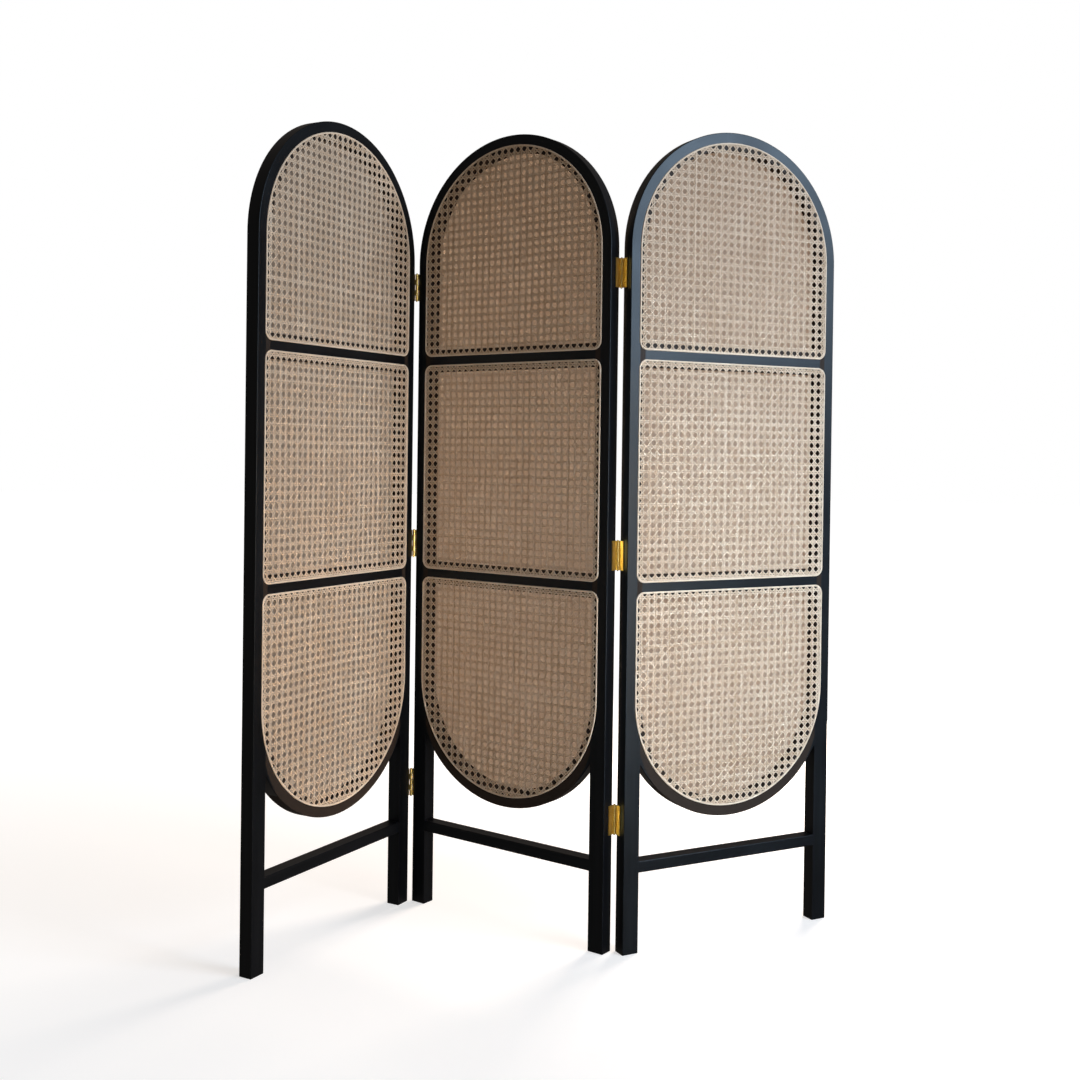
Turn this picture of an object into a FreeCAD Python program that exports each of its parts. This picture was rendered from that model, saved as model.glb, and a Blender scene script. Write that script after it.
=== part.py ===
import FreeCAD, Part
import math
import os

# Folding room divider screen: three arched wooden panels that zig-zag on six butt hinges.
# Millimetres, +Z up, -Y is the front. Each panel is drawn in its own frame, with X along its
# width, its front face at y = 0 and its back face at y = THICKNESS, and is then swung to the
# angle at which the open screen stands.

V = FreeCAD.Vector

# Panel
HEIGHT = 1800.0
PANEL_WIDTH = 550.0
THICKNESS = 32.0
STILE_WIDTH = 38.0              # legs, and the bands of both arches
EDGE_ROUND = 1.5                # softened outer edges
UPPER_RAIL_Z = 1295.0           # centre of the upper rail
LOWER_RAIL_Z = 792.0            # centre of the lower rail
RAIL_BAND = 19.5                # bare wood between the splines on a rail
BOTTOM_ARCH_Z = 273.0           # lowest point of the bottom arch
ARCH_SHOULDER = 50.0            # how far the stiles' shoulders come down the bottom arch
STRETCHER_Z = 174.0             # underside of the stretcher
STRETCHER_HEIGHT = 25.0

# Each window has open cane on its front and a plain cloth lining on its back, and each of them is
# held in its own groove by a reed spline.
SPLINE_INSET = 22.6             # panel's outer edge to the spline
SPLINE_WIDTH = 4.3
SPLINE_PROUD = 1.8              # above the face of the wood
SPLINE_ROUND = 1.9
SPLINE_CORNER = 20.0            # corner radius at the spline's outer edge
CANE_THICKNESS = 1.2
LINING_THICKNESS = 0.8
GROOVE_DEPTH = 6.0
GLUE_GAP = 0.05                 # round anything pressed or glued into a hole or groove

# Dowels in the frame's joints
DOWEL_DIAMETER = 8.0
DOWEL_LENGTH = 28.0
DOWEL_HOLE_SPARE = 1.0          # empty depth past each end of a dowel
STILE_DOWEL_SPACING = 18.0      # across the stile, under the top arch
RAIL_DOWEL_SPACING = 26.0       # up the rail
STRETCHER_DOWEL_SPACING = 14.0  # through the thickness
ARCH_DOWEL_SPACING = 24.0       # up the bottom arch's end
ARCH_DOWEL_DROP = 104.0         # that pair's middle below the arch's spring line

# Butt hinges
LOW_HINGE_Z = 286.0             # middle of the hinge
MIDDLE_HINGE_Z = 860.0
TOP_HINGE_DROP = 53.0           # the top hinge's middle below the arch's spring line
HINGE_HEIGHT = 64.0
LEAF_WIDTH = 15.0
LEAF_THICKNESS = 2.0
KNUCKLES = 5
KNUCKLE_GAP = 0.3
BARREL_DIAMETER = 6.8
PIN_DIAMETER = 3.8
PIN_CLEARANCE = 0.05            # radial, pin to knuckle
PIN_TIP = 2.0                   # pin past each end of the barrel
PIVOT_OFF_EDGE = 3.5            # pin axis from the stile's edge
PIVOT_OFF_FACE = 3.8            # pin axis from the panel's face

# Hinge screws
SCREW_LENGTH = 18.0
SCREW_DIAMETER = 3.4
SCREW_HEAD_DIAMETER = 6.4
SCREW_HEAD_HEIGHT = 1.5
SCREW_POINT = 3.0
SCREW_SPACING = 21.0            # up the leaf
SCREW_SLOT_WIDTH = 0.9
SCREW_SLOT_DEPTH = 0.6

# The way the open screen stands: each panel's turn about +Z from the X axis
LEFT_TURN = 60.5
MIDDLE_TURN = -36.5
RIGHT_TURN = 27.0

# Derived sizes
MID_X = PANEL_WIDTH / 2
MID_Y = THICKNESS / 2
ARCH_RADIUS = PANEL_WIDTH / 2
ARCH_INNER = ARCH_RADIUS - STILE_WIDTH
TOP_SPRING = HEIGHT - ARCH_RADIUS
BOTTOM_SPRING = BOTTOM_ARCH_Z + ARCH_RADIUS
HINGES_AT = (LOW_HINGE_Z, MIDDLE_HINGE_Z, TOP_SPRING - TOP_HINGE_DROP)
LEDGE_INSET = STILE_WIDTH - SPLINE_INSET
RAIL_HEIGHT = RAIL_BAND + 2 * LEDGE_INSET
DOWEL_RADIUS = DOWEL_DIAMETER / 2
BARREL_RADIUS = BARREL_DIAMETER / 2
KNUCKLE_PITCH = HINGE_HEIGHT / KNUCKLES
SCREW_Y = LEAF_WIDTH / 2
PANELS = ("left", "middle", "right")

# Each window: its lower end and upper end, as (z, arched). z is the spline's outer edge, or the
# spring line where the end is an arch.
WINDOWS = {
    "top": ((UPPER_RAIL_Z + RAIL_BAND / 2, False), (TOP_SPRING, True)),
    "middle": ((LOWER_RAIL_Z + RAIL_BAND / 2, False), (UPPER_RAIL_Z - RAIL_BAND / 2, False)),
    "bottom": ((BOTTOM_SPRING, True), (LOWER_RAIL_Z - RAIL_BAND / 2, False)),
}


def box(x0, x1, y0, y1, z0, z1):
    return Part.makeBox(x1 - x0, y1 - y0, z1 - z0, V(x0, y0, z0))


def end_edges(left, right, z, way, corner, arched):
    """One end of a window from left to right: an arch, or a straight run with round corners."""
    if arched:
        crown = V((left + right) / 2, 0, z + way * (right - left) / 2)
        return [Part.Arc(V(left, 0, z), crown, V(right, 0, z)).toShape()]
    inset = corner * (1 - math.sqrt(0.5))
    return [
        Part.Arc(
            V(left, 0, z - way * corner),
            V(left + inset, 0, z - way * inset),
            V(left + corner, 0, z),
        ).toShape(),
        Part.makeLine(V(left + corner, 0, z), V(right - corner, 0, z)),
        Part.Arc(
            V(right - corner, 0, z),
            V(right - inset, 0, z - way * inset),
            V(right, 0, z - way * corner),
        ).toShape(),
    ]


def groove_width(sheet_thickness):
    """Room for the spline and for the rim of the sheet that it holds."""
    return SPLINE_WIDTH + sheet_thickness + 2 * GLUE_GAP


def window_solid(window, inset, y0, y1):
    """A window's outline, drawn in by inset from the spline's outer edge, from y0 to y1."""
    left = SPLINE_INSET + inset
    right = PANEL_WIDTH - left
    corner = SPLINE_CORNER - inset
    (low, low_arched), (high, high_arched) = WINDOWS[window]
    low_z = low if low_arched else low + inset
    high_z = high if high_arched else high - inset
    low_end = low_z if low_arched else low_z + corner
    high_end = high_z if high_arched else high_z - corner
    edges = end_edges(left, right, low_z, -1, corner, low_arched)
    edges += end_edges(left, right, high_z, 1, corner, high_arched)
    edges.append(Part.makeLine(V(left, 0, low_end), V(left, 0, high_end)))
    edges.append(Part.makeLine(V(right, 0, low_end), V(right, 0, high_end)))
    face = Part.Face(Part.Wire(Part.__sortEdges__(edges)))
    face.translate(V(0, y0, 0))
    return face.extrude(V(0, y1 - y0, 0))


def window_ring(window, outer_inset, inner_inset, y0, y1):
    outer = window_solid(window, outer_inset, y0, y1)
    return outer.cut(window_solid(window, inner_inset, y0, y1))


def to_back(shape):
    """The same thing on the panel's back face."""
    return shape.mirror(V(0, MID_Y, 0), V(0, 1, 0))


def disc(radius, spring):
    return Part.makeCylinder(radius, THICKNESS, V(MID_X, 0, spring), V(0, 1, 0))


def band(spring):
    return disc(ARCH_RADIUS, spring).cut(disc(ARCH_INNER, spring))


def soften(shape, wanted):
    """Rounds the edges that wanted picks out."""
    edges = [edge for edge in shape.Edges if wanted(edge)]
    return shape.makeFillet(EDGE_ROUND, edges)


def on_face(edge):
    """True for an edge that lies in the panel's front or back face."""
    bounds = edge.BoundBox
    flat = bounds.YLength < 0.01
    return flat and min(abs(bounds.YMin), abs(bounds.YMin - THICKNESS)) < 0.01


def stile_blank():
    """The stile on the x = 0 side, with the shoulder that the bottom arch butts up to."""
    post = box(0, STILE_WIDTH, 0, THICKNESS, 0, TOP_SPRING)
    post = soften(post, lambda edge: on_face(edge) and edge.BoundBox.XMax < 0.01)
    shoulder = box(
        STILE_WIDTH, MID_X, 0, THICKNESS, BOTTOM_SPRING - ARCH_SHOULDER, BOTTOM_SPRING
    )
    return post.fuse(shoulder.cut(disc(ARCH_INNER, BOTTOM_SPRING))).removeSplitter()


def top_arch_blank():
    outer = soften(disc(ARCH_RADIUS, TOP_SPRING), on_face)
    above = box(0, PANEL_WIDTH, 0, THICKNESS, TOP_SPRING, HEIGHT)
    return outer.cut(disc(ARCH_INNER, TOP_SPRING)).common(above)


def bottom_arch_blank():
    outer = soften(disc(ARCH_RADIUS, BOTTOM_SPRING), on_face)
    between = box(
        STILE_WIDTH,
        PANEL_WIDTH - STILE_WIDTH,
        0,
        THICKNESS,
        BOTTOM_ARCH_Z,
        BOTTOM_SPRING - ARCH_SHOULDER,
    )
    return outer.cut(disc(ARCH_INNER, BOTTOM_SPRING)).common(between)


def crossbar(z0, z1):
    return box(STILE_WIDTH, PANEL_WIDTH - STILE_WIDTH, 0, THICKNESS, z0, z1)


def stretcher_blank():
    bar = crossbar(STRETCHER_Z, STRETCHER_Z + STRETCHER_HEIGHT)
    return soften(bar, lambda edge: on_face(edge) and edge.BoundBox.ZLength < 0.01)


def rail_blank(z):
    return crossbar(z - RAIL_HEIGHT / 2, z + RAIL_HEIGHT / 2)


def pair(centre, spacing):
    return (centre - spacing / 2, centre + spacing / 2)


def dowel_places():
    """(centre, axis) of every dowel on the x = 0 side of a panel."""
    up = V(0, 0, 1)
    across = V(1, 0, 0)
    places = [(V(x, MID_Y, TOP_SPRING), up) for x in pair(STILE_WIDTH / 2, STILE_DOWEL_SPACING)]
    for z in (UPPER_RAIL_Z, LOWER_RAIL_Z):
        for z_dowel in pair(z, RAIL_DOWEL_SPACING):
            places.append((V(STILE_WIDTH, MID_Y, z_dowel), across))
    for z_dowel in pair(BOTTOM_SPRING - ARCH_DOWEL_DROP, ARCH_DOWEL_SPACING):
        places.append((V(STILE_WIDTH, MID_Y, z_dowel), across))
    for y in pair(MID_Y, STRETCHER_DOWEL_SPACING):
        places.append((V(STILE_WIDTH, y, STRETCHER_Z + STRETCHER_HEIGHT / 2), across))
    return places


def rods(radius, length):
    """A rod at every dowel's place, on both sides of the panel."""
    made = []
    for centre, axis in dowel_places():
        rod = Part.makeCylinder(radius, length, centre - axis * (length / 2), axis)
        made.append(rod)
        made.append(other_side(rod))
    return made


def other_side(shape):
    """The same thing at the panel's other edge."""
    return shape.mirror(V(MID_X, 0, 0), V(1, 0, 0))


def groove_cuts():
    cuts = []
    for window in WINDOWS:
        cuts.append(window_ring(window, 0, groove_width(CANE_THICKNESS), 0, GROOVE_DEPTH))
        groove = window_ring(window, 0, groove_width(LINING_THICKNESS), 0, GROOVE_DEPTH)
        cuts.append(to_back(groove))
    return cuts


# Hinges. A leaf is drawn on the stile's x = 0 edge, with the pin in front of the front face, and
# is mirrored to the other edge or to the back.


def pin_rod(radius, z0, z1):
    return Part.makeCylinder(radius, z1 - z0, V(-PIVOT_OFF_EDGE, -PIVOT_OFF_FACE, z0))


def screw_heights():
    return (-SCREW_SPACING, 0.0, SCREW_SPACING)


def screw_body(gap):
    """A screw driven along +X, head outwards, with gap added all round for its hole."""
    head = SCREW_HEAD_DIAMETER / 2 + gap
    shank = SCREW_DIAMETER / 2 + gap
    neck = -LEAF_THICKNESS + SCREW_HEAD_HEIGHT
    shank_end = SCREW_LENGTH - LEAF_THICKNESS - SCREW_POINT
    profile = [
        V(-LEAF_THICKNESS, 0, 0),
        V(-LEAF_THICKNESS, 0, head),
        V(neck, 0, shank),
        V(shank_end, 0, shank),
        V(shank_end + SCREW_POINT + gap, 0, 0),
        V(-LEAF_THICKNESS, 0, 0),
    ]
    body = Part.Face(Part.makePolygon(profile)).revolve(V(0, 0, 0), V(1, 0, 0), 360)
    body.translate(V(0, SCREW_Y, 0))
    return body


def screw():
    slot = box(
        -LEAF_THICKNESS,
        -LEAF_THICKNESS + SCREW_SLOT_DEPTH,
        SCREW_Y - SCREW_HEAD_DIAMETER,
        SCREW_Y + SCREW_HEAD_DIAMETER,
        -SCREW_SLOT_WIDTH / 2,
        SCREW_SLOT_WIDTH / 2,
    )
    slot.rotate(V(0, SCREW_Y, 0), V(1, 0, 0), 35)
    return screw_body(0).cut(slot)


def leaf(odd):
    """One leaf about z = 0, with the odd knuckles, counted from 0, or the even ones."""
    half = HINGE_HEIGHT / 2
    plate = box(-LEAF_THICKNESS, 0, 0, LEAF_WIDTH, -half, half)
    for number in range(KNUCKLES):
        if number % 2 != odd:
            continue
        z0 = -half + number * KNUCKLE_PITCH + KNUCKLE_GAP / 2
        z1 = z0 + KNUCKLE_PITCH - KNUCKLE_GAP
        plate = plate.fuse(pin_rod(BARREL_RADIUS, z0, z1))
        plate = plate.fuse(box(-LEAF_THICKNESS, 0, -PIVOT_OFF_FACE, 0, z0, z1))
    plate = plate.cut(pin_rod(PIN_DIAMETER / 2 + PIN_CLEARANCE, -half, half)).removeSplitter()
    for z in screw_heights():
        hole = screw_body(GLUE_GAP)
        hole.translate(V(0, 0, z))
        plate = plate.cut(hole)
    return plate


def pin():
    half = HINGE_HEIGHT / 2 + PIN_TIP
    rod = pin_rod(PIN_DIAMETER / 2, -half, half)
    rims = [edge for edge in rod.Edges if edge.BoundBox.ZLength < 0.01]
    return rod.makeChamfer(PIN_DIAMETER / 5, rims)


def at_hinges(shape):
    """A copy of shape at each hinge's height."""
    copies = []
    for z in HINGES_AT:
        copy = shape.copy()
        copy.translate(V(0, 0, z))
        copies.append(copy)
    return copies


def screws_up_the_edge(one):
    """A copy of one for each screw of the three leaves on an edge."""
    made = []
    for z in screw_heights():
        moved = one.copy()
        moved.translate(V(0, 0, z))
        made += at_hinges(moved)
    return made


# What happens at each panel's two edges: which edge carries leaves, and on which face the pin is.
# The left joint closes on the front and the right joint on the back, so the screen zig-zags.
HINGED_EDGES = {
    "left": (("x_max", "front", "left_hinge_outer_leaves", 1),),
    "middle": (
        ("x_min", "front", "left_hinge_inner_leaves", 0),
        ("x_max", "back", "right_hinge_inner_leaves", 0),
    ),
    "right": (("x_min", "back", "right_hinge_outer_leaves", 1),),
}


def at_edge(shape, edge, face):
    if face == "back":
        shape = to_back(shape)
    if edge == "x_max":
        shape = other_side(shape)
    return shape


def panel_parts(panel):
    """Every piece of one panel, in the panel's own frame, by node name."""
    parts = {}
    cuts = groove_cuts()
    cuts += rods(DOWEL_RADIUS + GLUE_GAP, DOWEL_LENGTH + 2 * DOWEL_HOLE_SPARE)
    screws = []
    for edge, face, node, odd in HINGED_EDGES[panel]:
        parts[node] = [at_edge(one, edge, face) for one in at_hinges(leaf(odd))]
        screws += [at_edge(one, edge, face) for one in screws_up_the_edge(screw())]
        cuts += [at_edge(one, edge, face) for one in screws_up_the_edge(screw_body(GLUE_GAP))]
    blanks = {
        "left_stile": stile_blank(),
        "right_stile": other_side(stile_blank()),
        "top_arch": top_arch_blank(),
        "bottom_arch": bottom_arch_blank(),
        "upper_rail": rail_blank(UPPER_RAIL_Z),
        "lower_rail": rail_blank(LOWER_RAIL_Z),
        "stretcher": stretcher_blank(),
    }
    for name, blank in blanks.items():
        parts[f"{panel}_panel_{name}"] = [blank.cut(cuts)]
    parts[f"{panel}_panel_dowels"] = rods(DOWEL_RADIUS, DOWEL_LENGTH)
    parts[f"{panel}_panel_hinge_screws"] = screws
    front_splines = []
    for window in WINDOWS:
        parts[f"{panel}_panel_{window}_cane"] = [sheet(window, CANE_THICKNESS)]
        parts[f"{panel}_panel_{window}_lining"] = [to_back(sheet(window, LINING_THICKNESS))]
        front_splines.append(spline(window))
    parts[f"{panel}_panel_front_splines"] = front_splines
    parts[f"{panel}_panel_back_splines"] = [to_back(one) for one in front_splines]
    return parts


def sheet(window, thickness):
    """Cane or cloth over a window and its ledge, with its rim turned down into the groove."""
    inner = groove_width(thickness)
    flat = window_solid(window, inner - thickness, -thickness, 0)
    rim = window_ring(window, inner - thickness, inner - GLUE_GAP, 0, GROOVE_DEPTH)
    return flat.fuse(rim).removeSplitter()


def spline(window):
    """The reed in the groove, outside the sheet's rim, with a rounded top."""
    ring = window_ring(window, GLUE_GAP, SPLINE_WIDTH, -SPLINE_PROUD, GROOVE_DEPTH)
    tops = [edge for edge in ring.Edges if edge.BoundBox.YMax < -SPLINE_PROUD + 0.01]
    return ring.makeFillet(SPLINE_ROUND, tops)


def turned(point, angle):
    a = math.radians(angle)
    return V(
        point.x * math.cos(a) - point.y * math.sin(a),
        point.x * math.sin(a) + point.y * math.cos(a),
        point.z,
    )


# Pin axes in the panels' own frames
AT_X_MIN = -PIVOT_OFF_EDGE
AT_X_MAX = PANEL_WIDTH + PIVOT_OFF_EDGE
AT_FRONT = -PIVOT_OFF_FACE
AT_BACK = THICKNESS + PIVOT_OFF_FACE

# The pins stay where the middle panel puts them, and each outer panel hangs on its own pin.
LEFT_PIVOT = turned(V(AT_X_MIN, AT_FRONT, 0), MIDDLE_TURN)
RIGHT_PIVOT = turned(V(AT_X_MAX, AT_BACK, 0), MIDDLE_TURN)
STANDS = {
    "left": (LEFT_TURN, LEFT_PIVOT - turned(V(AT_X_MAX, AT_FRONT, 0), LEFT_TURN)),
    "middle": (MIDDLE_TURN, V(0, 0, 0)),
    "right": (RIGHT_TURN, RIGHT_PIVOT - turned(V(AT_X_MIN, AT_BACK, 0), RIGHT_TURN)),
}


def footprint_centre():
    """Middle of the open screen's footprint, from the corners of its three panels."""
    corners = []
    for turn, move in STANDS.values():
        for x in (0, PANEL_WIDTH):
            for y in (0, THICKNESS):
                corners.append(move + turned(V(x, y, 0), turn))
    xs = [corner.x for corner in corners]
    ys = [corner.y for corner in corners]
    return V((min(xs) + max(xs)) / 2, (min(ys) + max(ys)) / 2, 0)


CENTRE = footprint_centre()


def stand_up(shape, panel):
    """Swings a piece from its panel's own frame to where it is in the open screen."""
    turn, move = STANDS[panel]
    placed = shape.copy()
    placed.rotate(V(0, 0, 0), V(0, 0, 1), turn)
    placed.translate(move - CENTRE)
    return placed


def main():
    os.makedirs("parts", exist_ok=True)
    for panel in PANELS:
        parts = panel_parts(panel)
        if panel == "middle":
            parts["left_hinge_pins"] = [at_edge(one, "x_min", "front") for one in at_hinges(pin())]
            parts["right_hinge_pins"] = [at_edge(one, "x_max", "back") for one in at_hinges(pin())]
        for node, solids in parts.items():
            standing = [stand_up(solid, panel) for solid in solids]
            shape = standing[0] if len(standing) == 1 else Part.makeCompound(standing)
            shape.exportStep(f"parts/{node}.step")


main()
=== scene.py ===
import math
import bpy
import numpy as np
from mathutils import Matrix, Vector


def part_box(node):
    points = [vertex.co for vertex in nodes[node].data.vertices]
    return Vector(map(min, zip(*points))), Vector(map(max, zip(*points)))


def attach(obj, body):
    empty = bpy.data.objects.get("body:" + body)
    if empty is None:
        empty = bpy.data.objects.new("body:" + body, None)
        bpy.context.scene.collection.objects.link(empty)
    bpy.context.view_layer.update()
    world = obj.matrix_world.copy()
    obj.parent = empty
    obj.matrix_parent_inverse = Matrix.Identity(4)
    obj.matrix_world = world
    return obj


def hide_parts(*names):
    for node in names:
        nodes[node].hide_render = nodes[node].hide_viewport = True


# Folding room divider screen. The frame, splines, hinges, screws and dowels are the CAD nodes in
# finished materials. The cane is woven here strand by strand, and the linings are thin cloths.
# Metres, +Z up, -Y is the front. A panel's own axes are x across its width, y from its front face
# to its back, and z up.

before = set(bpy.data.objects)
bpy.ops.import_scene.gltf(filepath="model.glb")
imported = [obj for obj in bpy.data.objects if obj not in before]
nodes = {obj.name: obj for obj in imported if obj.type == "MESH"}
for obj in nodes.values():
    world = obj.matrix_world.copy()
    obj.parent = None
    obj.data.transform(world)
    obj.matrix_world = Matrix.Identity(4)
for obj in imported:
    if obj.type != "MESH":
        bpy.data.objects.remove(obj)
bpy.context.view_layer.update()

PANELS = ("left", "middle", "right")
WINDOWS = ("top", "middle", "bottom")
UP = Vector((0, 0, 1))

# Cane webbing: upright and level strands in pairs, and two sets of single diagonals
PITCH = 0.0179                  # hole to hole, both ways
PAIR_OFFSET = 0.00178           # a strand's centre from the middle of its pair
PAIRED_WIDTH = 0.0027
DIAGONAL_WIDTH = 0.0022
PAIRED_TONE = 0.50              # 0 is the darkest cane and 1 the palest
DIAGONAL_TONE = 0.90
TONE_SPREAD = 0.24
STRAND_THICK = 0.00042
STRAND_RIDE = 0.0010            # the weave's middle layer, in front of the wood
HUB_LIFT = 0.00021              # uprights over levels where the pairs cross
DIAGONAL_SWING = 0.00046        # diagonals over and under the pairs
UNDER_SPLINE = 0.0011           # strands run this far under the spline
WARP = 0.0007                   # slow wander of the hand-pulled weave, one wave's height
STRAND_WANDER = 0.00010         # a strand's own step to the side
STRAND_WIDTHS = (0.90, 1.07)    # narrowest and widest, as shares
OFF_CENTRE = 0.0018             # most that a window's lattice is off its centre
SHORTEST_STRAND = 0.006
END_CLEAR = 0.0006              # no crossing this near to a strand's end

# The frame, where the lacquer stops under the cane
SPLINE_INSET = 0.0226           # the panel's edge to the spline
RAIL_BAND = 0.0195              # bare wood between the splines on a rail
LEDGE_FROM = 0.0250             # the panel's edge to just past the middle of the spline

# Grain
ALONG_TIMBER = 0.035            # length along the timber, shrunk by this, so the grain is long
ROUND_ARCH = 0.009              # metres of grain for one radian of an arch

# Lining cloth
LINING_THICK = 0.0005
LINING_FROM_BACK = 0.0007       # the cloth's front, from the back of the CAD lining
LINING_SLACK = 0.00035
LINING_RINGS = 16
LINING_SPOKES = 176
THREAD_REPEAT = 0.00085
ALONG_SLUB = 0.03               # length along a slub, shrunk by this

FLOOR_RADIUS = 30.0
FLOOR_SIDES = 64
FLOOR_DROP = 0.0005             # below the feet

CAMERA_SPOT = Vector((-0.0406, -2.9012, 1.0804))
CAMERA_YAW = math.radians(-0.0395)
CAMERA_PITCH = math.radians(-0.4904)
CAMERA_ROLL = math.radians(0.7374)
CAMERA_LENS = 43.486            # millimetres, on a sensor 36 wide
CAMERA_SHIFT = -0.0704          # upward shift of the view, as a share of the sensor's width


# ---------------------------------------------------------------- where the panels stand

def panel_matrix(panel):
    """The panel's own axes, as a matrix to the world."""
    rail = nodes[f"{panel}_panel_lower_rail"].data
    upright = [face for face in rail.polygons if abs(face.normal.z) < 0.1]
    depth = max(upright, key=lambda face: face.area).normal.copy()
    depth.z = 0
    depth.normalize()
    cane = sum(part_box(f"{panel}_panel_middle_cane"), Vector())
    lining = sum(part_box(f"{panel}_panel_middle_lining"), Vector())
    if (lining - cane).dot(depth) < 0:
        depth.negate()
    across = depth.cross(UP)
    stile = nodes[f"{panel}_panel_left_stile"].data
    start = min(v.co.dot(across) for v in stile.vertices)
    front = min(v.co.dot(depth) for v in rail.vertices)
    matrix = Matrix((across, depth, UP)).transposed().to_4x4()
    matrix.translation = across * start + depth * front
    return matrix


def local_points(node, matrix):
    points = np.array([v.co for v in nodes[node].data.vertices])
    inverse = np.array(matrix.inverted())
    return points @ inverse[:3, :3].T + inverse[:3, 3]


def hull(points):
    """Convex outline of flat points, counter-clockwise."""
    ordered = sorted(set(map(tuple, np.round(points, 5))))
    halves = []
    for run in (ordered, ordered[::-1]):
        half = []
        for p in run:
            while len(half) > 1:
                a, b = half[-2], half[-1]
                if (b[0] - a[0]) * (p[1] - a[1]) - (b[1] - a[1]) * (p[0] - a[0]) > 0:
                    break
                half.pop()
            half.append(p)
        halves += half[:-1]
    return np.array(halves)


def outline(node, matrix, at_back):
    """Outline of the flat part of a sheet's CAD solid, in the panel's width and height."""
    points = local_points(node, matrix)
    depth = points[:, 1]
    face = depth.max() if at_back else depth.min()
    flat = np.abs(depth - face) < 0.0002
    return hull(points[flat][:, [0, 2]])


# ---------------------------------------------------------------- materials

class Nodes:
    """A material's node tree, with short calls to add and join nodes."""

    def __init__(self, name):
        self.material = bpy.data.materials.new(name)
        self.material.use_nodes = True
        self.tree = self.material.node_tree
        self.tree.nodes.clear()

    def add(self, kind, inputs=(), **settings):
        node = self.tree.nodes.new("ShaderNode" + kind)
        for name, value in settings.items():
            setattr(node, name, value)
        for socket, value in dict(inputs).items():
            if isinstance(value, bpy.types.NodeSocket):
                self.tree.links.new(value, node.inputs[socket])
            else:
                node.inputs[socket].default_value = value
        return node

    def math(self, operation, a, b=0.0):
        return self.add("Math", {0: a, 1: b}, operation=operation).outputs[0]

    def scale(self, place, by):
        return self.add("VectorMath", {0: place, 1: by}, operation="MULTIPLY").outputs[0]

    def noise(self, coordinate, scale, detail, rough):
        values = {"Vector": coordinate, "Scale": scale, "Detail": detail, "Roughness": rough}
        return self.add("TexNoise", values).outputs["Fac"]

    def spread(self, value, low, high, to_low=0.0, to_high=1.0):
        values = {"Value": value, "From Min": low, "From Max": high}
        values.update({"To Min": to_low, "To Max": to_high})
        return self.add("MapRange", values).outputs["Result"]

    def blend(self, factor, a, b):
        node = self.add("Mix", {"Factor": factor}, data_type="RGBA")
        for socket, value in ((node.inputs[6], a), (node.inputs[7], b)):
            if isinstance(value, bpy.types.NodeSocket):
                self.tree.links.new(value, socket)
            else:
                socket.default_value = (*value, 1.0)
        return node.outputs[2]

    def bump(self, height, strength, distance):
        values = {"Height": height, "Strength": strength, "Distance": distance}
        return self.add("Bump", values).outputs["Normal"]

    def panel_place(self, matrix):
        """Position in the panel's own axes, in metres."""
        place = self.add("TexCoord").outputs["Object"]
        turned = []
        for column in range(3):
            axis = matrix.col[column].to_3d()
            node = self.add("VectorMath", {0: place, 1: tuple(axis)}, operation="DOT_PRODUCT")
            start = axis.dot(matrix.translation)
            turned.append(self.math("SUBTRACT", node.outputs["Value"], start))
        return turned

    def combine(self, x, y, z):
        return self.add("CombineXYZ", {0: x, 1: y, 2: z}).outputs[0]

    def show(self, shader):
        out = self.add("OutputMaterial")
        self.tree.links.new(shader, out.inputs["Surface"])
        return self.material


def grain_place(m, matrix, run, centre):
    """Coordinates stretched along the timber: upright, level, or round an arch's centre."""
    x, y, z = m.panel_place(matrix)
    if run == "upright":
        return m.combine(x, y, m.math("MULTIPLY", z, ALONG_TIMBER))
    if run == "level":
        return m.combine(m.math("MULTIPLY", x, ALONG_TIMBER), y, z)
    dx = m.math("SUBTRACT", x, centre[0])
    dz = m.math("SUBTRACT", z, centre[1])
    squares = m.math("ADD", m.math("MULTIPLY", dx, dx), m.math("MULTIPLY", dz, dz))
    radius = m.math("SQRT", squares)
    angle = m.math("ARCTAN2", dx, m.math("ABSOLUTE", dz))
    return m.combine(radius, y, m.math("MULTIPLY", angle, ROUND_ARCH))


def under_cane(m, matrix, run, ledge):
    """1 on the ledge that the cane lies on, which is stained and not polished, and 0 elsewhere.

    ledge is a stile's panel width and the height where its windows start, a rail's height, or an
    arch's centre."""
    x, y, z = m.panel_place(matrix)
    if run == "upright":
        width, start = ledge
        inset = m.math("MINIMUM", x, m.math("SUBTRACT", width, x))
        inside = m.math("GREATER_THAN", inset, LEDGE_FROM)
        return m.math("MULTIPLY", inside, m.math("GREATER_THAN", z, start))
    if run == "level":
        off = m.math("ABSOLUTE", m.math("SUBTRACT", z, ledge))
        return m.math("GREATER_THAN", off, RAIL_BAND / 2 + LEDGE_FROM - SPLINE_INSET)
    across = m.math("POWER", m.math("SUBTRACT", x, ledge[0]), 2.0)
    up = m.math("POWER", m.math("SUBTRACT", z, ledge[1]), 2.0)
    radius = m.math("SQRT", m.math("ADD", across, up))
    return m.math("LESS_THAN", radius, ledge[0] - LEDGE_FROM)


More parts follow.
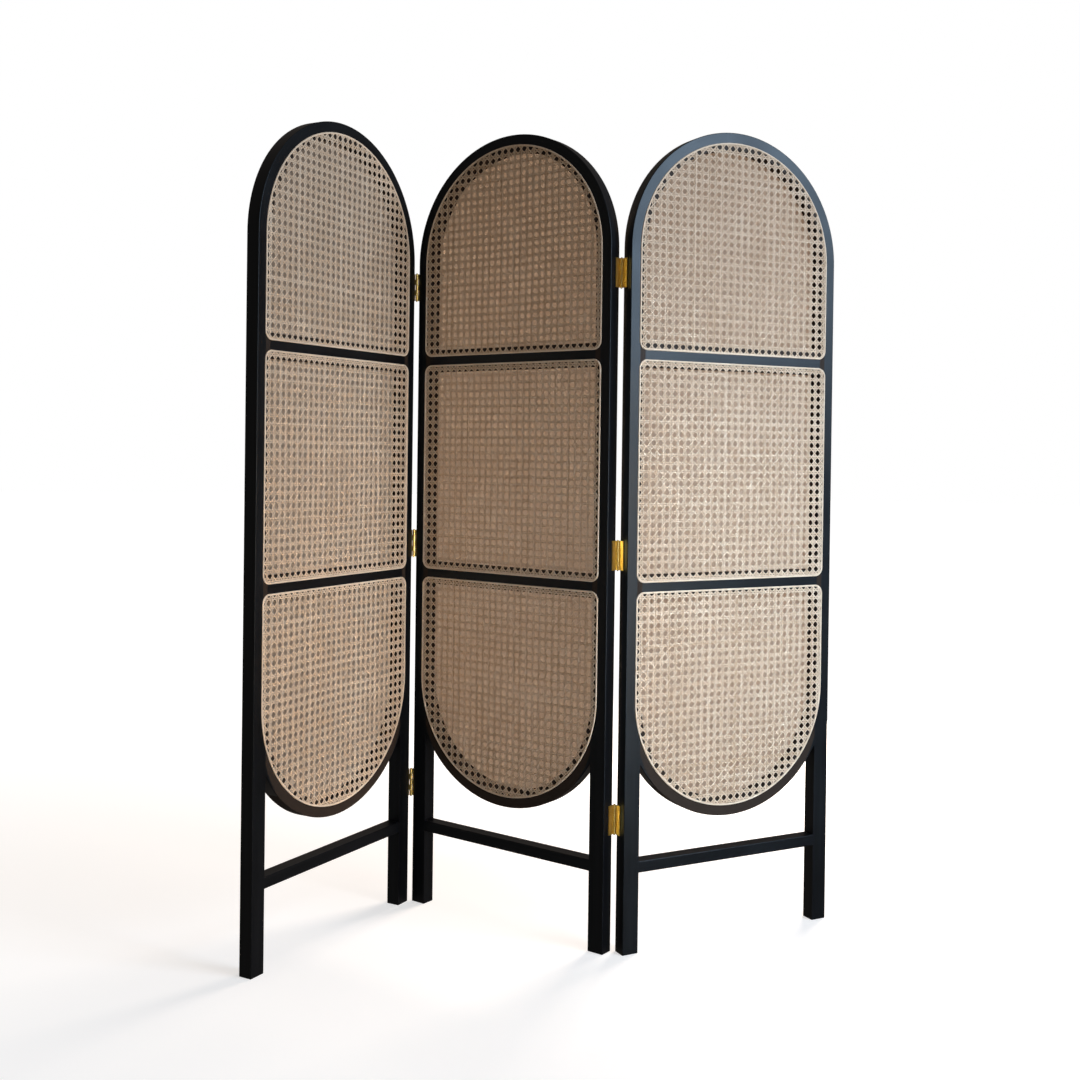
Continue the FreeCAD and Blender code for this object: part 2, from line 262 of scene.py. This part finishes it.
def lacquer(name, matrix, run, centre, ledge=None):
    """Satin black lacquer with the timber's grain just showing through it."""
    m = Nodes(name)
    place = m.add("TexCoord").outputs["Object"]
    grain = grain_place(m, matrix, run, centre)
    pores = m.noise(grain, 620.0, 5.0, 0.62)
    bands = m.noise(grain, 85.0, 3.0, 0.55)
    cloud = m.noise(place, 7.0, 2.0, 0.5)
    lint = m.noise(place, 1400.0, 2.0, 0.6)
    dark = (0.0016, 0.0018, 0.0026)
    pale = (0.0060, 0.0064, 0.0084)
    tone = m.math("MULTIPLY", m.spread(bands, 0.35, 0.7), m.spread(pores, 0.3, 0.72, 0.35, 1.0))
    colour = m.blend(tone, dark, pale)
    dust = m.spread(lint, 0.66, 0.80, 0.0, 0.15)
    colour = m.blend(dust, colour, (0.040, 0.038, 0.038))
    worn = m.spread(cloud, 0.3, 0.7, 0.30, 0.40)
    polish = m.math("ADD", worn, m.spread(pores, 0.3, 0.7, 0.0, 0.05))
    if ledge is not None:
        matt = under_cane(m, matrix, run, ledge)
        colour = m.blend(matt, colour, (0.026, 0.016, 0.010))
        polish = m.math("ADD", polish, m.math("MULTIPLY", matt, 0.45))
    relief = m.math("ADD", m.math("MULTIPLY", pores, 0.7), m.math("MULTIPLY", bands, 0.6))
    shader = m.add("BsdfPrincipled", {
        "Base Color": colour,
        "Roughness": polish,
        "IOR": 1.46,
        "Specular IOR Level": 0.34,
        # Painted reflection colour: the blue in this tint stands in for the blue of the lamps
        # mirrored in the lacquer.
        "Specular Tint": (0.70, 0.87, 1.0, 1.0),
        "Coat Weight": 0.06,
        "Coat Roughness": 0.20,
        "Normal": m.bump(relief, 0.32, 0.00022),
    })
    return m.show(shader.outputs[0])


def cane_material():
    """Split cane: tan fibres, each strand with its own tone, and painted shade darkening it towards
    its edges.
    """
    m = Nodes("cane")
    place = m.add("TexCoord").outputs["Object"]
    tone = m.add("Attribute", attribute_name="cane_tone").outputs["Fac"]
    along = m.add("Attribute", attribute_name="cane_along").outputs["Fac"]
    cross = m.add("Attribute", attribute_name="cane_across").outputs["Fac"]
    stretched = [m.math("MULTIPLY", along, 14.0)]
    stretched.append(m.math("MULTIPLY", cross, 1.9))
    stretched.append(m.math("MULTIPLY", tone, 41.0))
    fibre = m.noise(m.combine(*stretched), 2.4, 4.0, 0.6)
    stain = m.noise(place, 16.0, 3.0, 0.55)
    patch = m.noise(place, 4.2, 2.0, 0.5)
    colour = m.blend(tone, (0.520, 0.370, 0.235), (0.880, 0.735, 0.570))
    colour = m.blend(m.spread(fibre, 0.36, 0.70, 0.0, 0.42), colour, (0.50, 0.335, 0.192))
    colour = m.blend(m.spread(stain, 0.50, 0.78, 0.0, 0.45), colour, (0.86, 0.730, 0.560))
    colour = m.blend(m.spread(patch, 0.45, 0.72, 0.0, 0.22), colour, (0.56, 0.385, 0.235))
    # Painted shade: each strand turns dark brown along its sides, standing in for the shade on its
    # rounded edges and in the gaps beside it.
    off_centre = m.math("ABSOLUTE", cross)
    colour = m.blend(m.spread(off_centre, 0.30, 0.50, 0.0, 0.75), colour, (0.215, 0.135, 0.080))
    gloss = m.spread(fibre, 0.3, 0.7, 0.36, 0.55)
    shader = m.add("BsdfPrincipled", {
        "Base Color": colour,
        "Roughness": gloss,
        "IOR": 1.5,
        "Specular IOR Level": 0.45,
        "Coat Weight": 0.12,
        "Coat Roughness": 0.30,
        "Normal": m.bump(fibre, 0.35, 0.00012),
    })
    glow = m.add("BsdfTranslucent", {"Color": colour})
    mixed = m.add("MixShader", {0: 0.12, 1: shader.outputs[0], 2: glow.outputs[0]})
    return m.show(mixed.outputs[0])


def reed_material():
    """The splines' round reed: cream, with fine fibres and brown flecks."""
    m = Nodes("reed")
    place = m.add("TexCoord").outputs["Object"]
    fibre = m.noise(place, 900.0, 4.0, 0.65)
    fleck = m.noise(place, 95.0, 3.0, 0.6)
    cloud = m.noise(place, 9.0, 2.0, 0.5)
    colour = m.blend(m.spread(cloud, 0.3, 0.7), (0.735, 0.590, 0.440), (0.830, 0.705, 0.560))
    colour = m.blend(m.spread(fibre, 0.42, 0.72, 0.0, 0.40), colour, (0.575, 0.425, 0.290))
    colour = m.blend(m.spread(fleck, 0.62, 0.76, 0.0, 0.55), colour, (0.440, 0.300, 0.185))
    shader = m.add("BsdfPrincipled", {
        "Base Color": colour,
        "Roughness": m.spread(fibre, 0.3, 0.7, 0.42, 0.60),
        "IOR": 1.5,
        "Specular IOR Level": 0.4,
        "Normal": m.bump(fibre, 0.30, 0.00015),
    })
    return m.show(shader.outputs[0])


def lining_material(name, matrix):
    """Plain tightly woven natural cloth that lets some light through."""
    m = Nodes(name)
    x, y, z = m.panel_place(matrix)
    place = m.combine(x, y, z)
    warp = m.math("SINE", m.math("MULTIPLY", x, 2 * math.pi / THREAD_REPEAT))
    weft = m.math("SINE", m.math("MULTIPLY", z, 2 * math.pi / THREAD_REPEAT))
    weave = m.math("MULTIPLY", m.math("MULTIPLY", warp, weft), 0.5)
    slub_x = m.noise(m.combine(m.math("MULTIPLY", x, ALONG_SLUB), y, z), 520.0, 3.0, 0.6)
    slub_z = m.noise(m.combine(x, y, m.math("MULTIPLY", z, ALONG_SLUB)), 520.0, 3.0, 0.6)
    slub = m.math("MULTIPLY", m.math("ADD", slub_x, slub_z), 0.5)
    cloud = m.noise(place, 5.0, 3.0, 0.5)
    colour = m.blend(m.spread(slub, 0.38, 0.62), (0.520, 0.445, 0.370), (0.650, 0.580, 0.505))
    colour = m.blend(m.spread(cloud, 0.35, 0.7, 0.0, 0.25), colour, (0.490, 0.400, 0.320))
    relief = m.math("ADD", weave, slub)
    normal = m.bump(relief, 0.25, 0.0001)
    shader = m.add("BsdfPrincipled", {
        "Base Color": colour,
        "Roughness": m.spread(slub, 0.3, 0.7, 0.80, 0.95),
        "Specular IOR Level": 0.2,
        "Sheen Weight": 0.15,
        "Normal": normal,
    })
    glow = m.add("BsdfTranslucent", {"Color": colour, "Normal": normal})
    mixed = m.add("MixShader", {0: 0.45, 1: shader.outputs[0], 2: glow.outputs[0]})
    return m.show(mixed.outputs[0])


def brass_material(name, brushed, rough):
    """Polished brass, a little tarnished. brushed is below 1 for scratches that run upright."""
    m = Nodes(name)
    place = m.add("TexCoord").outputs["Object"]
    brush = m.noise(m.scale(place, (1.0, 1.0, brushed)), 1500.0, 3.0, 0.6)
    smudge = m.noise(place, 55.0, 4.0, 0.6)
    colour = m.blend(m.spread(smudge, 0.35, 0.7), (0.930, 0.690, 0.230), (0.800, 0.550, 0.140))
    colour = m.blend(m.spread(brush, 0.5, 0.75, 0.0, 0.25), colour, (0.960, 0.790, 0.400))
    worn = m.spread(smudge, 0.3, 0.7, rough, rough + 0.13)
    polish = m.math("ADD", worn, m.spread(brush, 0.3, 0.7, 0.0, 0.06))
    shader = m.add("BsdfPrincipled", {
        "Base Color": colour,
        "Metallic": 1.0,
        "Roughness": polish,
        "Normal": m.bump(brush, 0.12, 0.00006),
    })
    return m.show(shader.outputs[0])


def beech_material():
    """Plain turned beech with its short dark flecks."""
    m = Nodes("beech")
    place = m.add("TexCoord").outputs["Object"]
    grain = m.noise(m.scale(place, (1.0, 1.0, 0.08)), 260.0, 4.0, 0.6)
    flecks = m.noise(place, 700.0, 2.0, 0.6)
    colour = m.blend(m.spread(grain, 0.35, 0.68), (0.610, 0.430, 0.270), (0.440, 0.285, 0.160))
    colour = m.blend(m.spread(flecks, 0.6, 0.75, 0.0, 0.5), colour, (0.330, 0.200, 0.110))
    shader = m.add("BsdfPrincipled", {
        "Base Color": colour,
        "Roughness": m.spread(grain, 0.3, 0.7, 0.55, 0.72),
        "Normal": m.bump(grain, 0.25, 0.0002),
    })
    return m.show(shader.outputs[0])


def dress(node, material):
    """A CAD node keeps its shape and takes this material in every slot."""
    if not nodes[node].material_slots:
        nodes[node].data.materials.append(material)
    for place in nodes[node].material_slots:
        place.material = material


# ---------------------------------------------------------------- cane

class Strands:
    """Ribbons of a woven sheet, gathered into one mesh."""

    # Corners of a ribbon's section, as shares of its width and thickness
    SECTION = np.array([[-0.5, -0.5], [-0.30, 0.5], [0.30, 0.5], [0.5, -0.5]])

    def __init__(self):
        self.points = []
        self.faces = []
        self.tone = []
        self.along = []
        self.count = 0

    def add(self, centre, across, width, tone):
        """centre is the ribbon's line (x, front, z); across is its flat side's direction."""
        n = len(centre)
        side = np.array([across[0], 0.0, across[1]])
        front = np.array([0.0, -1.0, 0.0])
        rings = [
            centre + side * (a * width) + front * (h * STRAND_THICK) for a, h in self.SECTION
        ]
        self.points.append(np.stack(rings, axis=1).reshape(-1, 3))
        start = self.count + 4 * np.arange(n - 1)[:, None]
        last = self.count + 4 * (n - 1)
        quads = [start + np.array([[k, (k + 1) % 4, 4 + (k + 1) % 4, 4 + k]]) for k in range(4)]
        ends = [np.array([[3, 2, 1, 0]]) + self.count, np.array([[0, 1, 2, 3]]) + last]
        self.faces += [*quads, *ends]
        self.tone.append(np.full(4 * n, tone))
        steps = np.linalg.norm(np.diff(centre, axis=0), axis=1)
        run = np.concatenate([[0.0], np.cumsum(steps)])
        self.along.append(np.repeat(run, 4))
        self.count += 4 * n

    def mesh(self, name):
        points = np.concatenate(self.points)
        faces = np.concatenate(self.faces)
        mesh = bpy.data.meshes.new(name)
        mesh.vertices.add(len(points))
        mesh.vertices.foreach_set("co", points.astype(np.float32).ravel())
        mesh.loops.add(faces.size)
        mesh.polygons.add(len(faces))
        mesh.polygons.foreach_set("loop_start", np.arange(0, faces.size, 4, dtype=np.int32))
        mesh.polygons.foreach_set("vertices", faces.astype(np.int32).ravel())
        mesh.update(calc_edges=True)
        mesh.polygons.foreach_set("use_smooth", np.ones(len(faces), bool))
        mesh.set_sharp_from_angle(angle=math.radians(62))
        across = np.tile(self.SECTION[:, 0], len(points) // 4)
        for key, values in (("tone", self.tone), ("along", self.along), ("across", [across])):
            attribute = mesh.attributes.new("cane_" + key, "FLOAT", "POINT")
            attribute.data.foreach_set("value", np.concatenate(values).astype(np.float32))
        return mesh


def clip(edge, start, way):
    """From where to where a line through start is inside the outline, in steps of way, or None."""
    normal, limit = edge
    speed = normal @ way
    room = limit - normal @ start
    if np.any(room[np.abs(speed) < 1e-9] < 0):
        return None
    ahead, behind = speed > 1e-9, speed < -1e-9
    far = np.min(room[ahead] / speed[ahead])
    near = np.max(room[behind] / speed[behind])
    return (near, far) if far - near > SHORTEST_STRAND else None


def half_planes(shape, outset):
    """The outline as outward normals and limits, moved out by outset."""
    sides = np.roll(shape, -1, axis=0) - shape
    normals = np.stack([sides[:, 1], -sides[:, 0]], axis=1)
    normals /= np.linalg.norm(normals, axis=1)[:, None]
    return normals, np.sum(normals * shape, axis=1) + outset


def stations(near, far, step):
    """Both ends of a run, and every step of the lattice between them."""
    inside = np.arange(math.ceil(near / step), far / step) * step
    inside = inside[(inside > near + END_CLEAR) & (inside < far - END_CLEAR)]
    return np.concatenate([[near], inside, [far]])


def cane_mesh(name, shape, seed):
    """Six-way cane over one window: holes on a square lattice centred on the window."""
    rng = np.random.default_rng(seed)
    edge = half_planes(shape, UNDER_SPLINE)
    low, high = shape.min(axis=0), shape.max(axis=0)
    middle = (low + high) / 2 + rng.uniform(-OFF_CENTRE, OFF_CENTRE, 2)
    middle[1] += PITCH / 2
    reach = int((high - low).max() / PITCH) + 2
    phases = rng.uniform(0, 2 * math.pi, 6)    # two are spare, and stay to keep later draws
    strands = Strands()

    def lay(start, way, stops, heights, wide, paleness):
        """One strand from start along way, bent with the rest of the sheet."""
        flat = start + stops[:, None] * way
        wander = rng.uniform(-STRAND_WANDER, STRAND_WANDER)
        side = np.array([-way[1], way[0]])
        flat = flat + side * wander
        size = high - low
        s, t = ((flat - low) / size).T
        fade = np.clip(4 * np.minimum(np.minimum(s, 1 - s), np.minimum(t, 1 - t)), 0, 1)
        bend_x = np.sin(5.2 * t + 2.1 * s + phases[0]) + 0.6 * np.sin(9.0 * t + phases[1])
        bend_z = np.sin(6.1 * s + 1.7 * t + phases[2]) + 0.7 * np.sin(11.0 * s + phases[3])
        moved = flat + WARP * fade[:, None] * np.stack([bend_x, bend_z], axis=1)
        centre = np.stack([moved[:, 0], -heights, moved[:, 1]], axis=1)
        width = wide * rng.uniform(*STRAND_WIDTHS)
        tone = float(np.clip(rng.normal(paleness, TONE_SPREAD), 0, 1))
        strands.add(centre, side, width, tone)

    for way, other, lift in (((0.0, 1.0), 0, HUB_LIFT), ((1.0, 0.0), 1, -HUB_LIFT)):
        way = np.array(way)
        for i in range(-reach, reach):
            for pair in (-PAIR_OFFSET, PAIR_OFFSET):
                start = middle.copy()
                start[other] += (i + 0.5) * PITCH + pair
                run = clip(edge, start, way)
                if run is None:
                    continue
                stops = stations(*run, PITCH / 2)
                heights = STRAND_RIDE - lift * np.cos(2 * math.pi * stops / PITCH)
                lay(start, way, stops, heights, PAIRED_WIDTH, PAIRED_TONE)
    for slope, swing in ((1.0, DIAGONAL_SWING), (-1.0, -DIAGONAL_SWING)):
        way = np.array((1.0, slope))
        for k in range(-2 * reach, 2 * reach):
            start = middle + np.array((0.0, (k + 0.5) * PITCH))
            run = clip(edge, start, way)
            if run is None:
                continue
            stops = stations(*run, PITCH / 4)
            heights = STRAND_RIDE - swing * np.cos(2 * math.pi * stops / PITCH)
            along = stops * math.sqrt(2)
            lay(start, way / math.sqrt(2), along, heights, DIAGONAL_WIDTH, DIAGONAL_TONE)
    return strands.mesh(name)


# ---------------------------------------------------------------- linings

def lining_mesh(name, shape, front, seed):
    """A thin cloth, pulled nearly flat: rings from the middle out to its held edge."""
    rng = np.random.default_rng(seed)
    ends = np.concatenate([shape, shape[:1]])
    steps = np.concatenate([[0], np.cumsum(np.linalg.norm(np.diff(ends, axis=0), axis=1))])
    at = np.linspace(0, steps[-1], LINING_SPOKES, endpoint=False)
    rim = np.stack([np.interp(at, steps, ends[:, k]) for k in (0, 1)], axis=1)
    middle = (shape.min(axis=0) + shape.max(axis=0)) / 2
    phase = rng.uniform(0, 2 * math.pi, 3)
    turn = np.arange(LINING_SPOKES) / LINING_SPOKES * 2 * math.pi
    flat = [middle[None, :]]
    slack = [np.array([0.6])]
    for ring in range(1, LINING_RINGS + 1):
        share = ring / LINING_RINGS
        flat.append(middle + (rim - middle) * share)
        pulls = np.sin(11 * turn + phase[0]) + 0.6 * np.sin(19 * turn + phase[1])
        sweep = 0.6 * np.cos(2 * turn + phase[2])
        belly = (1 - share) * (0.6 + sweep * share)
        slack.append(belly + 1.4 * pulls * share ** 3 * (1 - share))
    flat = np.concatenate(flat)
    slack = LINING_SLACK * np.concatenate(slack)
    layers = []
    for depth in (front, front + LINING_THICK):
        layers.append(np.stack([flat[:, 0], depth + slack, flat[:, 1]], axis=1))
    count = len(flat)
    faces = []
    for ring in range(LINING_RINGS):
        for spoke in range(LINING_SPOKES):
            after = (spoke + 1) % LINING_SPOKES
            outer = [1 + ring * LINING_SPOKES + spoke, 1 + ring * LINING_SPOKES + after]
            inner = [0] if ring == 0 else [o - LINING_SPOKES for o in reversed(outer)]
            faces.append(outer + inner)
            faces.append([count + i for i in reversed(outer + inner)])
    last = 1 + (LINING_RINGS - 1) * LINING_SPOKES
    for spoke in range(LINING_SPOKES):
        a, b = last + spoke, last + (spoke + 1) % LINING_SPOKES
        faces.append([b, a, count + a, count + b])
    mesh = bpy.data.meshes.new(name)
    mesh.from_pydata(np.concatenate(layers).tolist(), [], faces)
    mesh.polygons.foreach_set("use_smooth", np.ones(len(mesh.polygons), bool))
    mesh.set_sharp_from_angle(angle=math.radians(40))
    return mesh


# ---------------------------------------------------------------- the three panels

cane = cane_material()
reed = reed_material()
beech = beech_material()
brass = brass_material("brass", 0.06, 0.30)
brass_pin = brass_material("brass_pin", 0.3, 0.16)


def arch_centre(node, axes, top):
    """Centre of an arch's circles, in the panel's width and height."""
    points = local_points(node, axes)
    low, high = points.min(axis=0), points.max(axis=0)
    radius = (high[0] - low[0]) / 2
    return (low[0] + high[0]) / 2, high[2] - radius if top else low[2] + radius


def dress_frame(panel, axes):
    """Lacquer on a panel's frame, and finishes on the small pieces in it."""
    body = f"{panel}_panel"
    centres = {}
    for end in ("top", "bottom"):
        centre = arch_centre(f"{body}_{end}_arch", axes, end == "top")
        finish = lacquer(f"lacquer_{panel}_{end}_arch", axes, "round", centre, centre)
        dress(f"{body}_{end}_arch", finish)
        centres[end] = centre
    edge = (2 * centres["top"][0], centres["bottom"][1])
    for side in ("left", "right"):
        finish = lacquer(f"lacquer_{panel}_{side}_stile", axes, "upright", None, edge)
        dress(f"{body}_{side}_stile", finish)
    for bar in ("upper_rail", "lower_rail"):
        height = sum(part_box(f"{body}_{bar}"), Vector()).z / 2
        dress(f"{body}_{bar}", lacquer(f"lacquer_{panel}_{bar}", axes, "level", None, height))
    dress(f"{body}_stretcher", lacquer(f"lacquer_{panel}_stretcher", axes, "level", None))
    dress(f"{body}_dowels", beech)
    dress(f"{body}_front_splines", reed)
    dress(f"{body}_back_splines", reed)
    dress(f"{body}_hinge_screws", brass)


def stand_in(mesh, name, axes, body, node):
    """A new piece from mesh, which rides on body and stands for node."""
    piece = bpy.data.objects.new(name, mesh)
    bpy.context.scene.collection.objects.link(piece)
    piece.matrix_world = axes
    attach(piece, body)
    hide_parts(node)
    return piece


def weave_cane(panel, window, axes, seed):
    body = f"{panel}_panel"
    node = f"{body}_{window}_cane"
    name = f"{panel}_{window}_cane_weave"
    woven = cane_mesh(name, outline(node, axes, False), seed)
    woven.materials.append(cane)
    stand_in(woven, name, axes, body, node)


def stretch_lining(panel, window, axes, cloth, seed):
    body = f"{panel}_panel"
    node = f"{body}_{window}_lining"
    name = f"{panel}_{window}_lining_cloth"
    shape = outline(node, axes, True)
    back = local_points(node, axes)[:, 1].max()
    thin = lining_mesh(name, shape, back - LINING_FROM_BACK, seed)
    thin.materials.append(cloth)
    piece = stand_in(thin, name, axes, body, node)


for number, panel in enumerate(PANELS):
    axes = panel_matrix(panel)
    dress_frame(panel, axes)
    cloth = lining_material(f"lining_{panel}", axes)
    for index, window in enumerate(WINDOWS):
        seed = 100 + 10 * number + index
        weave_cane(panel, window, axes, seed)
        stretch_lining(panel, window, axes, cloth, seed + 50)
for side in ("left", "right"):
    dress(f"{side}_hinge_outer_leaves", brass)
    dress(f"{side}_hinge_inner_leaves", brass)
    dress(f"{side}_hinge_pins", brass_pin)


# ---------------------------------------------------------------- floor, light and camera

def floor_material():
    """Pale floor that glows with painted light, rising to plain white away from the object."""
    m = Nodes("floor")
    spot = m.add("TexCoord").outputs["Object"]
    cloud = m.noise(spot, 0.8, 3.0, 0.5)
    colour = m.blend(m.spread(cloud, 0.3, 0.7), (0.52, 0.52, 0.52), (0.56, 0.56, 0.555))
    away = m.add("VectorMath", {0: spot}, operation="LENGTH").outputs["Value"]
    shader = m.add("BsdfPrincipled", {
        "Base Color": colour,
        "Roughness": 0.9,
        "Specular IOR Level": 0.1,
        # Painted light: the floor's own glow, dimmer near the object and up to plain white far
        # away.
        "Emission Color": (1.0, 1.0, 1.0, 1.0),
        "Emission Strength": m.spread(away, 0.6, 3.6, 0.60, 1.02),
    })
    return m.show(shader.outputs[0])


def lay_floor():
    turns = np.linspace(0, 2 * math.pi, FLOOR_SIDES, endpoint=False)
    ring = [(FLOOR_RADIUS * math.cos(a), FLOOR_RADIUS * math.sin(a), 0.0) for a in turns]
    mesh = bpy.data.meshes.new("floor")
    mesh.from_pydata(ring, [], [list(range(FLOOR_SIDES))])
    mesh.materials.append(floor_material())
    floor = bpy.data.objects.new("floor", mesh)
    bpy.context.scene.collection.objects.link(floor)
    floor.location.z = -FLOOR_DROP
    floor.visible_diffuse = False
    floor.visible_glossy = False


def softbox(name, spot, aim, size, power, colour, spread=180):
    """A soft light of size (width, height), whose beam opens by spread degrees."""
    data = bpy.data.lights.new(name, "AREA")
    data.shape = "RECTANGLE"
    data.size, data.size_y = size
    data.energy = power
    data.color = colour
    data.spread = math.radians(spread)
    light = bpy.data.objects.new(name, data)
    bpy.context.scene.collection.objects.link(light)
    light.location = spot
    light.rotation_mode = "QUATERNION"
    light.rotation_quaternion = (Vector(aim) - Vector(spot)).to_track_quat("-Z", "Y")
    light.visible_camera = False
    return light


def background(tree, colour, strength):
    node = tree.nodes.new("ShaderNodeBackground")
    node.inputs[0].default_value = colour
    node.inputs[1].default_value = strength
    return node.outputs[0]


def light_world():
    """White where the camera sees it, and a dim warm fill for everything else."""
    world = bpy.data.worlds.new("studio")
    bpy.context.scene.world = world
    world.use_nodes = True
    tree = world.node_tree
    tree.nodes.clear()
    path = tree.nodes.new("ShaderNodeLightPath")
    choose = tree.nodes.new("ShaderNodeMixShader")
    sky = tree.nodes.new("ShaderNodeOutputWorld")
    fill = background(tree, (1.0, 0.86, 0.76, 1.0), 0.13)
    white = background(tree, (1.0, 1.0, 1.0, 1.0), 1.0)
    tree.links.new(path.outputs["Is Camera Ray"], choose.inputs[0])
    tree.links.new(fill, choose.inputs[1])
    tree.links.new(white, choose.inputs[2])
    tree.links.new(choose.outputs[0], sky.inputs["Surface"])


def set_camera():
    ahead = Vector((
        -math.sin(CAMERA_YAW) * math.cos(CAMERA_PITCH),
        math.cos(CAMERA_YAW) * math.cos(CAMERA_PITCH),
        math.sin(CAMERA_PITCH),
    ))
    level = Vector((math.cos(CAMERA_YAW), math.sin(CAMERA_YAW), 0))
    above = level.cross(ahead)
    right = level * math.cos(CAMERA_ROLL) + above * math.sin(CAMERA_ROLL)
    above = above * math.cos(CAMERA_ROLL) - level * math.sin(CAMERA_ROLL)
    turn = Matrix((right, above, -ahead)).transposed().to_4x4()
    data = bpy.data.cameras.new("camera")
    data.sensor_width = 36.0
    data.lens = CAMERA_LENS
    data.shift_y = CAMERA_SHIFT
    camera = bpy.data.objects.new("camera", data)
    bpy.context.scene.collection.objects.link(camera)
    camera.matrix_world = Matrix.Translation(CAMERA_SPOT) @ turn
    bpy.context.scene.camera = camera


lay_floor()
softbox("key", (3.2, -1.7, 2.5), (0.3, 0.0, 0.9), (1.6, 2.2), 124.0, (0.70, 0.82, 0.97))
softbox("low_front", (2.1, -3.0, 0.6), (0.2, 0.0, 0.5), (1.6, 1.0), 20.0, (1.0, 0.86, 0.74))
softbox("near_right", (1.35, -1.5, 0.7), (0.42, 0.05, 0.66), (0.7, 1.3), 3.1, (0.66, 0.83, 1.0), 44)
softbox("left_warm", (2.2, -2.0, 0.8), (-0.55, -0.12, 0.60), (0.7, 1.2), 1.6, (1.0, 0.70, 0.45), 30)
back = softbox("back", (1.5, 2.2, 0.7), (0.0, 0.1, 0.8), (1.2, 1.4), 208.0, (1.0, 0.84, 0.72))
back.visible_glossy = False
light_world()
set_camera()
bpy.context.scene.view_settings.view_transform = "Standard"
